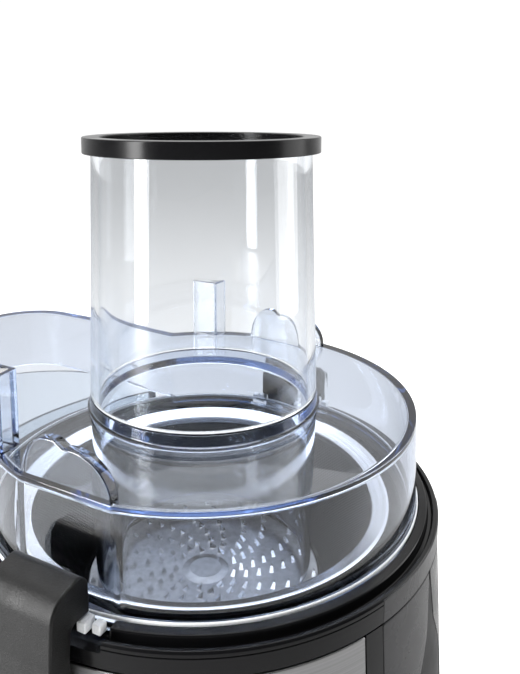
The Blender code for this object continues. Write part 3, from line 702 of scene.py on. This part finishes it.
def make_basket():
    top = BASKET_TOP_Z
    rim = fillet([
        (BASKET_R, top, 0.45), (BASKET_R, top - 1.3, 0.45), (64.6, top - 3.6, 1.0), (63.2, top - 5.6),
        (62.4, top - 5.2), (63.0, top - 2.3, 1.2), (68.2, top, 0.5),
    ])
    piece("basket_rim", lathe(rim, FINE_STEPS), BRIGHT, "spinner", "bright_steel", "filter_basket")
    wall = [
        (63.3, top - 5.1), (BASKET_WALL_R, DISC_Z + 0.1), (BASKET_WALL_R - 2, DISC_Z + 0.1),
        (BASKET_WALL_R - 2, DISC_Z + 1.0), (BASKET_WALL_R - 0.8, DISC_Z + 1.1), (62.5, top - 4.7),
    ]
    # The steel mesh is shown in painted shade, near black.
    piece("basket_mesh", lathe(wall, FINE_STEPS), MESH, "spinner", "bright_steel", "filter_basket")


def make_disc():
    profile = fillet([
        (0, DISC_Z + 2.0), (6.0, DISC_Z + 2.0, 1.0), (9.0, DISC_Z + 1.4, 1.0), (DISC_R, DISC_Z + 1.6, 0.4),
        (DISC_R, DISC_Z, 0.3), (0, DISC_Z),
    ], closed=False)
    plate = lathe(profile, ROUND_STEPS)
    piece("grater_plate", plate, TURNED, "spinner", "bright_steel", "grater_disc")
    teeth = bmesh.new()
    for row in range(TOOTH_ROWS):
        for step in range(TEETH_IN_ROW):
            reach = 11.5 + 4.7 * step + (row % 2) * 2.3
            turn = 2 * math.pi * row / TOOTH_ROWS + step * 0.09
            add_tooth(teeth, reach, turn, DISC_Z + 1.3)
    piece("grater_teeth", teeth, BRIGHT, "spinner", "bright_steel", "grater_disc", sharp=20.0)


def add_tooth(bm, reach, turn, z):
    """A pressed tooth: a low bump with a sharp lifted lip on its leading side."""
    spin = Matrix.Rotation(turn, 4, "Z") @ Matrix.Translation((reach, 0, z))
    foot = ((-0.9, -1.5, 0.0), (0.9, -1.5, 0.0), (1.1, 0.9, 0.0), (-1.1, 0.9, 0.0))
    tip = ((0.45, 0.7, 1.7), (-0.45, 0.7, 1.7), (0.0, 1.0, 2.7))
    base = [bm.verts.new(spin @ Vector(p)) for p in foot]
    lip = [bm.verts.new(spin @ Vector(p)) for p in tip]
    bm.faces.new((base[3], base[2], base[1], base[0]))
    bm.faces.new((base[0], base[1], lip[0], lip[1]))
    bm.faces.new((base[1], base[2], lip[0]))
    bm.faces.new((base[0], lip[1], base[3]))
    bm.faces.new((lip[0], lip[2], lip[1]))
    bm.faces.new((base[2], lip[2], lip[0]))
    bm.faces.new((base[3], lip[1], lip[2]))
    bm.faces.new((base[2], base[3], lip[2]))


def make_hub():
    top, foot = HUB_TOP_Z, HUB_LOW_Z
    profile = fillet([
        (0, top), (HUB_R, top, 0.5), (HUB_R, top - 3.0, 1.0), (27.0, foot + 10.5, 3.0), (26.0, foot, 0.8),
        (16.6, foot, 0.6), (16.6, foot + 5.6), (0, foot + 5.6),
    ], closed=False)
    piece("hub_body", lathe(profile, ROUND_STEPS), SOFT, "spinner", "black_soft", "basket_hub")


# ---- collar and base ---------------------------------------------------------


def make_collar():
    outer, foot = COLLAR_R, COLLAR_LOW_Z
    profile = fillet([
        (outer - 0.5, SEAT_Z - 2.5, 0.5), (outer, SEAT_Z - 3.2, 0.5), (outer, SEAT_Z - 4.2, 0.15),
        (outer - 0.45, SEAT_Z - 4.4), (outer, SEAT_Z - 4.6, 0.15), (outer, foot, 0.3),
        (COLLAR_INNER_R, foot, 0.3), (COLLAR_INNER_R, SEAT_Z - 5.9, 0.3),
        (COLLAR_LEDGE_R, SEAT_Z - 5.9, 0.2), (COLLAR_LEDGE_R, SEAT_Z - 0.3, 0.25),
        (82.6, SEAT_Z - 0.9, 0.7), (82.8, SEAT_Z - 4.4, 0.4),
        (84.3, SEAT_Z - 4.4, 0.4), (84.6, SEAT_Z - 2.5, 0.5),
    ])
    collar = piece("collar", lathe(profile, FINE_STEPS), BLACK, "base", "black_gloss", "collar_ring")
    notches = []
    for sign in (-1, 1):
        near, far = (sign * 74, -NOTCH_HALF, SEAT_Z - 5.6), (sign * 92, NOTCH_HALF, SEAT_Z + 9)
        notches.append(tool(box_bm(near, far, 0.8)))
    combine(collar, "DIFFERENCE", notches)
    edge = math.radians(FRONT_EDGE)
    band = polar_sheet(lambda z: (-edge, edge), foot + 0.1, SEAT_Z - 2.9, -0.5, 0.1, 6, 40)
    round_rim(piece("collar_front_band", band, CHARCOAL, "base", "charcoal_gloss"), 0.2)


def polar_sheet(spans, lowest, highest, inside, outside, rows, columns):
    """A curved sheet on the base. spans(z) gives its two end angles from the front, in radians."""
    heights = [mixed(highest, lowest, i / rows) for i in range(rows + 1)]
    bm = bmesh.new()
    layers = []
    for offset in (outside, inside):
        grid = []
        for z in heights:
            start, end = spans(z)
            angles = [mixed(start, end, i / columns) for i in range(columns + 1)]
            r = body_r(z) + offset
            grid.append([bm.verts.new(polar(a, r, z)) for a in angles])
        layers.append(grid)
    front, back = layers
    for i in range(rows):
        for j in range(columns):
            bm.faces.new((front[i][j], front[i + 1][j], front[i + 1][j + 1], front[i][j + 1]))
            bm.faces.new((back[i][j], back[i][j + 1], back[i + 1][j + 1], back[i + 1][j]))
    for i in range(rows):
        bm.faces.new((front[i][0], back[i][0], back[i + 1][0], front[i + 1][0]))
        bm.faces.new((front[i][-1], front[i + 1][-1], back[i + 1][-1], back[i][-1]))
    for j in range(columns):
        bm.faces.new((front[0][j], front[0][j + 1], back[0][j + 1], back[0][j]))
        bm.faces.new((front[-1][j], back[-1][j], back[-1][j + 1], front[-1][j + 1]))
    return bm


def round_rim(made, width):
    """Rounds a piece's sharp edges."""
    bevel = made.modifiers.new("round_edges", "BEVEL")
    bevel.width = width * MM
    bevel.segments = 2
    bevel.limit_method = "ANGLE"
    bevel.angle_limit = math.radians(50)
    made.modifiers.move(len(made.modifiers) - 1, 0)


def make_panels():
    """The steel sheets at the sides, the glossy panels at the front and the wedge between these."""
    for side, sign in (("left", -1), ("right", 1)):
        edge = math.radians(PANEL_EDGE)

        def steel_span(z, sign=sign):
            return sign * edge, sign * (math.pi - edge)

        sheet = polar_sheet(steel_span, PANEL_LOW_Z, PANEL_TOP_Z, -PANEL_THICK, 0.0, 28, 120)
        node = f"side_panel_{side}"
        round_rim(piece(f"steel_panel_{side}", sheet, BRUSHED, "base", "brushed_steel", node), 0.25)

        def gloss_span(z, sign=sign):
            inner = spine_half(z) + 0.35
            return sign * math.asin(min(0.9, inner / body_r(z))), sign * math.radians(FRONT_EDGE)

        sheet = polar_sheet(gloss_span, FRONT_LOW_Z, PANEL_TOP_Z, -PANEL_THICK, 0.0, 90, 24)
        node = f"front_panel_{side}"
        round_rim(piece(f"gloss_panel_{side}", sheet, CHARCOAL, "base", "charcoal_gloss", node), 0.25)

    def spine_span(z):
        inner = math.asin(min(0.9, (spine_half(z) - 0.1) / body_r(z)))
        return -inner, inner

    sheet = polar_sheet(spine_span, FRONT_LOW_Z, SPINE_TOP_Z, -PANEL_THICK, -0.15, 90, 16)
    round_rim(piece("front_wedge", sheet, SATIN, "base", "black_gloss", "front_spine"), 0.2)


def spine_half(z):
    """Half the spine's width at height z, from the same outline as the CAD's."""
    points = [(0.0, SPINE_TOP_Z + 3.0)] + SPINE_SIDE
    for (wide_a, z_a), (wide_b, z_b) in zip(points, points[1:]):
        if z_b <= z <= z_a:
            return max(0.4, mixed(wide_a, wide_b, (z_a - z) / (z_a - z_b)))
    return 0.4


def make_housing():
    """The black base: its outer wall steps in under the panels, so that they sit flush."""
    turns = {round(index * 1.2, 3) for index in range(300)}
    for edge in (PANEL_EDGE, FRONT_EDGE, 180 - PANEL_EDGE):
        for nudge in (-0.25, -0.12, 0.12, 0.25):
            turns |= {round(edge + nudge, 3), round(360 - edge - nudge, 3)}
    turns = [math.radians(t) for t in sorted(turns)]

    def recess(turn, z):
        angle = abs((math.degrees(turn) + 180) % 360 - 180)
        steel = PANEL_EDGE - 0.2 <= angle <= 180 - PANEL_EDGE + 0.2 and z > PANEL_LOW_Z - 0.3
        gloss = angle <= FRONT_EDGE + 0.2 and z > FRONT_LOW_Z - 0.3
        return PANEL_THICK + 0.3 if steel or gloss else 0.0

    heights = [BODY_TOP_Z - 0.02]
    heights += [mixed(BODY_TOP_Z - 0.5, PANEL_LOW_Z + 1, i / 24) for i in range(25)]
    heights += [PANEL_LOW_Z - 0.25, PANEL_LOW_Z - 0.35, 24.0, 19.0, FRONT_LOW_Z - 0.25, FRONT_LOW_Z - 0.35]
    rings = []
    for z in heights:
        rings.append([polar(t, body_r(z) - recess(t, z), z) for t in turns])
    for step in range(1, 5):
        a = math.radians(22.5 * step)
        inset, z = FOOT_ROUND * (1 - math.cos(a)), BODY_FOOT_Z + FOOT_ROUND * (1 - math.sin(a))
        rings.append([polar(t, body_r(z) - inset, z) for t in turns])
    deck = BOWL_FLOOR_Z - DECK_DROP
    inner = [
        (88.2, BODY_FOOT_Z), (86.6, deck - DECK_THICK), (SHAFT_HOLE_R, deck - DECK_THICK),
        (SHAFT_HOLE_R, deck), (80.6, deck), (81.0, BODY_TOP_Z - 0.02),
    ]
    rings += [[polar(t, r, z) for t in turns] for r, z in inner]
    housing = piece("housing", loft(rings), BLACK, "base", "black_gloss", "base_housing")
    window = box_bm(WINDOW_LOW, WINDOW_HIGH, 1.2)
    combine(housing, "DIFFERENCE", [tool(window)])


def make_feet():
    for place in ("front_left", "front_right", "back_left", "back_right"):
        a, b = low(f"foot_{place}"), high(f"foot_{place}")
        middle = (a + b) / 2 - AXIS
        profile = fillet([
            (0, b.z), (9.5, b.z, 0.4), (9.5, 4.6, 1.0), (8.6, 0.0, 0.9), (5.0, 0.0, 0.4), (4.6, 0.8, 0.4),
            (0, 0.8),
        ], closed=False)
        bm = lathe(profile, 48)
        bmesh.ops.translate(bm, verts=bm.verts, vec=(middle.x, middle.y, 0))
        piece(f"rubber_foot_{place}", bm, RUBBER, "base", "rubber", f"foot_{place}")


# ---- clamps, bin, spout and knob ---------------------------------------------


def lever_outline():
    """The clamp lever from the side, as X and Z from its pivot on the right."""
    return fillet([
        (-12.0, 76.2, 3.4), (-15.4, 73.0, 3.2), (-15.4, 63.4, 0.8), (-8.2, 63.4, 1.6), (-7.6, 56.0, 6.0),
        (-5.6, 12.0, 6.0), (-5.5, 0.0, 4.0), (-4.2, -5.0, 4.0), (1.5, -5.6, 4.0), (5.5, -1.5, 4.0),
        (5.0, 18.0, 12.0), (2.2, 44.0, 20.0), (0.4, 56.0, 20.0), (-1.0, 73.8, 10.0),
    ], steps=8)


def make_clamps():
    for side, sign in (("left", -1), ("right", 1)):
        outline = [(sign * (CLAMP_X + x), CLAMP_Z + z) for x, z in lever_outline()]
        lever = slab(outline, 2 * CLAMP_HALF, 1.3, bevel_steps=5)
        lever = piece(f"lever_{side}", lever, SOFT, f"clamp_{side}", "black_soft", f"clamp_{side}")
        x = sign * CLAMP_X
        near, far = sign * BRACKET_X, x + sign * 4.3
        bracket = fillet([
            (near, BRACKET_TOP_Z, 0.8), (near, BRACKET_LOW_Z, 0.8), (far, BRACKET_LOW_Z, 2.0),
            (far, BRACKET_TOP_Z, 4.2),
        ])
        shape = slab(bracket, 2 * CLAMP_HALF + 6.2, 0.9)
        bracket = piece(f"bracket_{side}", shape, SOFT, "base", "black_soft", f"clamp_bracket_{side}")
        slot = box_bm((sign * 80, -CLAMP_HALF - 0.5, 121.4), (sign * 112, CLAMP_HALF + 0.5, 142), 0.0)
        seat = lathe([(BODY_TOP_R + 3.4, 140.0), (BODY_TOP_R + 4.6, 105.0), (60.0, 105.0), (60.0, 140.0)])
        combine(bracket, "DIFFERENCE", [tool(slot), tool(seat)])
        end = CLAMP_HALF + 4.0
        pin = lathe(fillet([(0, end), (1.8, end, 0.5), (1.8, -end, 0.5), (0, -end)], closed=False), 32)
        spot = Matrix.Translation((x, 0, CLAMP_Z)) @ Matrix.Rotation(math.pi / 2, 4, "X")
        bmesh.ops.transform(pin, matrix=spot, verts=pin.verts)
        piece(f"pin_{side}", pin, BRIGHT, "base", "bright_steel", f"hinge_pin_{side}")


def bin_ring(inset, z):
    """The pulp bin's outline, drawn in by inset: an oval with a round bite where the base stands."""
    eye, centre_y = BIN_EYE, BIN_MIDDLE_Y
    front_r = BIN_BITE_R + inset
    half_x = half_width("pulp_container") - inset
    half_y = high("pulp_container").y - AXIS.y - centre_y - inset
    ring = []
    for index in range(BIN_STEPS):
        turn = 2 * math.pi * index / BIN_STEPS
        way = Vector((math.sin(turn), -math.cos(turn)))
        a = (way.x / half_x) ** 2 + (way.y / half_y) ** 2
        b = 2 * (eye.x * way.x / half_x**2 + (eye.y - centre_y) * way.y / half_y**2)
        c = (eye.x / half_x) ** 2 + ((eye.y - centre_y) / half_y) ** 2 - 1
        reach = (-b + math.sqrt(b * b - 4 * a * c)) / (2 * a)
        along, apart = eye.dot(way), eye.length_squared - front_r**2
        inside = along**2 - apart
        if along < 0 and inside > 0:
            reach = soft_min(reach, -along - math.sqrt(inside), 2.5)
        ring.append((eye.x + way.x * reach, eye.y + way.y * reach, z))
    return ring


def make_bin():
    top = high("pulp_container").z
    rings = []
    for step in range(6):
        a = math.radians(18 * step)
        rings.append(bin_ring(3.0 * (1 - math.sin(a)), 3.0 * (1 - math.cos(a))))
    for part in (0.25, 0.5, 0.75, 0.93):
        rings.append(bin_ring(0.0, mixed(3.0, top, part)))
    rings += [bin_ring(0.0, top - 0.6), bin_ring(0.2, top - 0.15), bin_ring(0.7, top)]
    rings += [bin_ring(1.8, top), bin_ring(2.3, top - 0.3), bin_ring(BIN_WALL, top - 0.9)]
    for part in (0.75, 0.5, 0.25):
        rings.append(bin_ring(BIN_WALL, mixed(6.0, top, part)))
    for step in range(5, -1, -1):
        a = math.radians(18 * step)
        rings.append(bin_ring(BIN_WALL + 2.6 * (1 - math.sin(a)), 2.6 + 2.6 * (1 - math.cos(a))))
    bm = loft(rings, closed=False, capped=True)
    piece("pulp_bin_wall", bm, SMOKY, "pulp_bin", "smoky_plastic", "pulp_container")


def make_spout():
    z, near = SPOUT_Z, low("juice_bowl").y - AXIS.y - 0.4
    outside = fillet([
        (near, z + 7.0, 0.6), (-103.0, z + 5.6, 9.0), (-113.6, z - 1.0, 9.0), (-113.9, z - 14.8, 0.8),
        (-99.6, z - 14.8, 0.8), (-97.4, z - 5.4, 4.0), (near, z - 4.9, 0.6),
    ], steps=8)
    inside = fillet([
        (near + 6, z + 4.8), (-102.6, z + 3.4, 8.0), (-111.3, z - 2.4, 8.0), (-111.5, z - 20.0),
        (-101.8, z - 20.0), (-99.6, z - 2.9, 4.0), (near + 6, z - 2.3),
    ], steps=8)
    across = Matrix.Rotation(math.pi / 2, 4, "Z")
    body = slab(outside, 20.6, 1.2, across, 4)
    spout = piece("spout_wall", body, SMOKY, "base", "smoky_plastic", "spout")
    combine(spout, "DIFFERENCE", [tool(slab(inside, 15.6, 0.8, across))])


def make_knob():
    depth = AXIS.y - low("knob_bezel").y
    tip = low("control_knob").y - AXIS.y
    stand = Matrix.Translation((0, 0, KNOB_Z)) @ Matrix.Rotation(math.pi / 2, 4, "X")
    bezel = fillet([
        (19.0, depth, 0.5), (19.0, depth - 2.0), (15.4, depth - 2.0), (15.4, depth - 0.6, 0.4),
        (17.8, depth, 0.4),
    ])
    bm = lathe(bezel, ROUND_STEPS)
    bmesh.ops.transform(bm, matrix=stand, verts=bm.verts)
    piece("bezel", bm, BRIGHT, "base", "bright_steel", "knob_bezel")
    reach = -tip
    dial = fillet([
        (0, reach - 6.0), (12.6, reach - 6.0, 1.4), (15.2, reach - 7.4, 1.2), (16.5, depth + 0.5, 0.5),
        (0, depth + 0.5),
    ], closed=False)
    bm = lathe(dial, ROUND_STEPS)
    bmesh.ops.transform(bm, matrix=stand, verts=bm.verts)
    knob = piece("dial", bm, SOFT, "knob", "black_soft", "control_knob")
    grip = box_bm((-2.8, tip, KNOB_Z - 14.6), (2.8, -depth - 3.0, KNOB_Z + 14.6), 1.1, 4)
    combine(knob, "UNION", [tool(grip)])
    mark = box_bm((-0.5, tip - 0.05, KNOB_Z + 5.0), (0.5, tip + 1.0, KNOB_Z + 12.4), 0.2)
    piece("dial_mark", mark, NYLON, "knob", "white_plastic")


def dress_inner_nodes():
    """The nodes that keep their CAD shape get their own materials."""
    dampers = [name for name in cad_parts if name.startswith("motor_damper")]
    looks = {
        SOFT: ["base_plate"],
        RUBBER: ["shaft_seal", "cord_gland"] + dampers,
        BRIGHT: [
            "knob_shaft", "motor_shaft", "bearing_upper", "bearing_lower", "motor_bolt_left",
            "motor_bolt_right",
        ],
        NYLON: ["drive_coupling", "cooling_fan", "power_switch"],
        BOARD: ["circuit_board"],
        LAMINATION: ["field_core", "rotor_core", "motor_bracket", "lower_bracket"],
        COPPER: ["field_coil_upper", "field_coil_lower", "commutator"],
    }
    for material, nodes in looks.items():
        for name in nodes:
            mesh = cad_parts[name].data
            mesh.materials.clear()
            mesh.materials.append(material)


# ---- floor, light and camera -------------------------------------------------

VIEW_TURN = math.radians(-61.1)  # the camera stands off the front left
VIEW_PITCH = math.radians(8.0)
VIEW_REACH = 252.7
VIEW_SIDE = 14.4
VIEW_RISE = 139.6  # above the lid's seat
LENS = 37.47
SHIFT = (0.026, -0.195)
AHEAD = Vector((-math.sin(VIEW_TURN), math.cos(VIEW_TURN), 0))
RIGHT = Vector((math.cos(VIEW_TURN), math.sin(VIEW_TURN), 0))
UP = Vector((0, 0, 1))
FLOOR_MIRRORED = 0.56  # the floor's grey in reflections
FLOOR_GLOW = 0.32      # and its own light everywhere else
WORLD_SEEN = 1.05
# From behind the camera to ahead of it: where the world starts and stops to brighten, darkest, brightest.
WORLD_FALL = (-0.1, 0.55, 0.07, 0.85)
WORLD_FALL_THROUGH_PLASTIC = (-0.45, 0.4, 0.8, 1.14)
MIX_FACTOR, MIX_A, MIX_B, MIX_COLOUR = 0, 6, 7, 2  # sockets of a Mix node for colours


def make_floor():
    """A pale floor that reflections show darker than it is, so that the steel keeps its depth."""
    bpy.ops.mesh.primitive_plane_add(size=8)
    floor = bpy.context.object
    floor.name = "floor"
    paint = Finish("pale_floor", (0.9, 0.9, 0.9), 0.6)
    paint.tint(paint.noise(3.0), (0.89, 0.89, 0.89), (0.92, 0.92, 0.92))
    path = paint.node("ShaderNodeLightPath")
    mirrored = paint.node("ShaderNodeMix", data_type="RGBA")
    colour = paint.shader.inputs["Base Color"]
    paint.links.new(path.outputs["Is Glossy Ray"], mirrored.inputs[MIX_FACTOR])
    paint.links.new(colour.links[0].from_socket, mirrored.inputs[MIX_A])
    mirrored.inputs[MIX_B].default_value = (FLOOR_MIRRORED, FLOOR_MIRRORED, FLOOR_MIRRORED, 1.0)
    paint.links.new(mirrored.outputs[MIX_COLOUR], colour)
    paint.shader.inputs["Emission Color"].default_value = (1.0, 1.0, 1.0, 1.0)
    glow = paint.node("ShaderNodeMapRange")
    glow.inputs["To Min"].default_value = FLOOR_GLOW
    glow.inputs["To Max"].default_value = 0.0
    paint.links.new(path.outputs["Is Glossy Ray"], glow.inputs["Value"])
    paint.links.new(glow.outputs["Result"], paint.shader.inputs["Emission Strength"])
    floor.data.materials.append(paint.material)


def make_world():
    """A white studio: bright behind the object and above it, dim in front, plain white to the camera."""
    world = bpy.data.worlds.new("studio")
    bpy.context.scene.world = world
    world.use_nodes = True
    nodes, links = world.node_tree.nodes, world.node_tree.links
    background = nodes["Background"]
    background.inputs["Color"].default_value = (1.0, 1.0, 1.0, 1.0)
    coords = nodes.new("ShaderNodeTexCoord")
    facing = nodes.new("ShaderNodeVectorMath")
    facing.operation = "DOT_PRODUCT"
    facing.inputs[1].default_value = (AHEAD + UP * 0.55).normalized()
    links.new(coords.outputs["Generated"], facing.inputs[0])

    def fall(start, stop, darkest, brightest):
        spread = nodes.new("ShaderNodeMapRange")
        spread.interpolation_type = "SMOOTHSTEP"
        spread.inputs["From Min"].default_value = start
        spread.inputs["From Max"].default_value = stop
        spread.inputs["To Min"].default_value = darkest
        spread.inputs["To Max"].default_value = brightest
        links.new(facing.outputs["Value"], spread.inputs["Value"])
        return spread.outputs["Result"]

    path = nodes.new("ShaderNodeLightPath")
    plastic = nodes.new("ShaderNodeMix")
    links.new(path.outputs["Is Transmission Ray"], plastic.inputs["Factor"])
    links.new(fall(*WORLD_FALL), plastic.inputs["A"])
    links.new(fall(*WORLD_FALL_THROUGH_PLASTIC), plastic.inputs["B"])
    straight = nodes.new("ShaderNodeMix")
    links.new(path.outputs["Is Camera Ray"], straight.inputs["Factor"])
    links.new(plastic.outputs["Result"], straight.inputs["A"])
    straight.inputs["B"].default_value = WORLD_SEEN
    links.new(straight.outputs["Result"], background.inputs["Strength"])


def aim(made, way):
    """Points a light or the camera along a direction."""
    made.rotation_euler = way.to_track_quat("-Z", "Y").to_euler()


def add_light(name, offset, width, height, power):
    """A rectangular light in metres from the middle of the lid's seat, turned towards it."""
    middle = Vector((0, AXIS.y * MM, SEAT_Z * MM))
    at = middle + offset
    data = bpy.data.lights.new(name, "AREA")
    data.shape = "RECTANGLE"
    data.size = width
    data.size_y = height
    data.energy = power
    made = add_object(name, data)
    made.location = at
    aim(made, middle - at)


def make_lights():
    add_light("top_box", UP * 1.5 + AHEAD * 0.3, 1.6, 1.6, 26)
    add_light("left_strip", RIGHT * -0.75 - AHEAD * 0.45 + UP * 0.25, 0.22, 0.9, 16)
    sun = bpy.data.lights.new("sky_wash", "SUN")
    sun.energy = 1.0
    sun.angle = math.radians(80)
    aim(add_object("sky_wash", sun), -AHEAD * 0.4 - UP)
    add_light("right_fill", RIGHT * 0.9 + AHEAD * 0.1 + UP * 0.2, 0.5, 1.0, 5)


def make_camera():
    data = bpy.data.cameras.new("camera")
    data.lens = LENS
    data.sensor_width = 36
    data.shift_x, data.shift_y = SHIFT
    data.clip_start = 0.01
    camera = add_object("camera", data)
    spot = AXIS - AHEAD * VIEW_REACH + RIGHT * VIEW_SIDE + UP * (SEAT_Z + VIEW_RISE)
    camera.location = spot * MM
    aim(camera, AHEAD * math.cos(VIEW_PITCH) - UP * math.sin(VIEW_PITCH))
    bpy.context.scene.camera = camera


def set_scene():
    scene = bpy.context.scene
    scene.view_settings.view_transform = "Standard"
    scene.cycles.max_bounces = 24
    scene.cycles.transmission_bounces = 20
    scene.cycles.transparent_max_bounces = 16
    scene.cycles.glossy_bounces = 20
    scene.cycles.caustics_reflective = False


make_camera()
set_scene()
make_world()
make_lights()
make_floor()
make_lid()
make_tube()
make_bowl()
make_basket()
make_disc()
make_hub()
make_collar()
make_housing()
make_panels()
make_feet()
make_clamps()
make_bin()
make_spout()
make_knob()
dress_inner_nodes()
